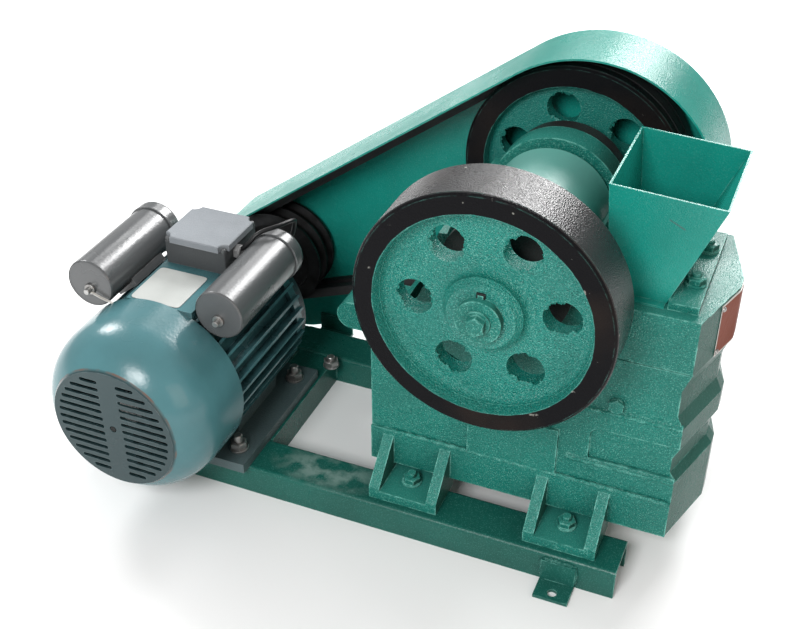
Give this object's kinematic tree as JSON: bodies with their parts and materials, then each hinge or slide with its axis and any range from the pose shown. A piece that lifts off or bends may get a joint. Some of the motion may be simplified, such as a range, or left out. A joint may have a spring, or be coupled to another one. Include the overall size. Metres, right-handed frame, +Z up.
{
  "type": "jaw crusher",
  "caption": "Small green jaw crusher with flywheel, belt wheel and guard, sheet hopper and a single-phase motor, all on a channel-steel base",
  "frame": {"origin": "on the floor, at the middle of the four anchor holes of the base", "axes": "+X to the discharge end of the crusher, away from the motor; +Y to the side of the belts and guard; +Z up"},
  "size_m": [0.693, 0.417, 0.4794],
  "materials": {
    "green_casting": "glossy teal-green enamel over a grainy casting, chipped in places",
    "green_steel": "darker teal-green enamel on rolled steel, rubbed pale in places",
    "green_sheet": "teal-green enamel on thin sheet",
    "motor_paint": "glossy blue-green enamel",
    "dark_shield": "dark blue-grey enamel",
    "can_grey": "satin mid-grey paint",
    "box_grey": "satin grey paint",
    "steel": "plain turned steel",
    "jaw_iron": "raw hard iron",
    "bearing_brown": "dark oily iron",
    "belt_rubber": "black rubber",
    "cable_black": "black cable",
    "gland_grey": "grey plastic"
  },
  "bodies": {
    "base": {"anchor_tabs": "green_steel", "bearing_covers": "bearing_brown", "belt_guard": "green_sheet", "cable_gland": "gland_grey", "capacitor_brackets": "can_grey", "capacitor_lead": "cable_black", "clamp_strip": "green_casting", "end_shield": "dark_shield", "fan_cover": "motor_paint", "far_bearing": "steel", "far_capacitor": "can_grey", "far_capacitor_cap": "can_grey", "far_cheek_plate": "jaw_iron", "far_rail": "green_steel", "fixed_jaw_plate": "jaw_iron", "guard_brackets": "green_sheet", "hopper": "green_sheet", "inner_cross_member": "green_steel", "jaw_frame": "green_casting", "motor_feet": "dark_shield", "motor_housing": "motor_paint", "moving_jaw_plate": "jaw_iron", "near_bearing": "steel", "near_capacitor": "can_grey", "near_capacitor_cap": "can_grey", "near_cheek_plate": "jaw_iron", "near_rail": "green_steel", "outer_cross_member": "green_steel", "rear_adjuster": "green_casting", "swing_jaw": "green_casting", "tension_rod": "steel", "tension_spring": "steel", "terminal_box": "box_grey", "terminal_lid": "box_grey", "toggle_beam": "green_casting", "toggle_plate": "jaw_iron", "v_belts": "belt_rubber"},
    "crank": {"crank_shaft": "steel", "flywheel": "green_casting", "belt_wheel": "green_casting", "near_end_washer": "green_casting", "far_end_washer": "green_casting"},
    "rotor": {"motor_shaft": "steel", "motor_pulley": "jaw_iron", "cooling_fan": "gland_grey"}
  },
  "joints": [
    {"name": "crank_spin", "type": "hinge", "parent": "base", "child": "crank", "pos_m": [0.172, 0, 0.338], "axis": [0, 1, 0], "continuous": true},
    {"name": "motor_spin", "type": "hinge", "parent": "base", "child": "rotor", "pos_m": [-0.204, 0, 0.136], "axis": [0, 1, 0], "continuous": true}
  ],
  "couplings": [
    {"joint": "motor_spin", "follows": "crank_spin", "ratio": 1.9134}
  ]
}
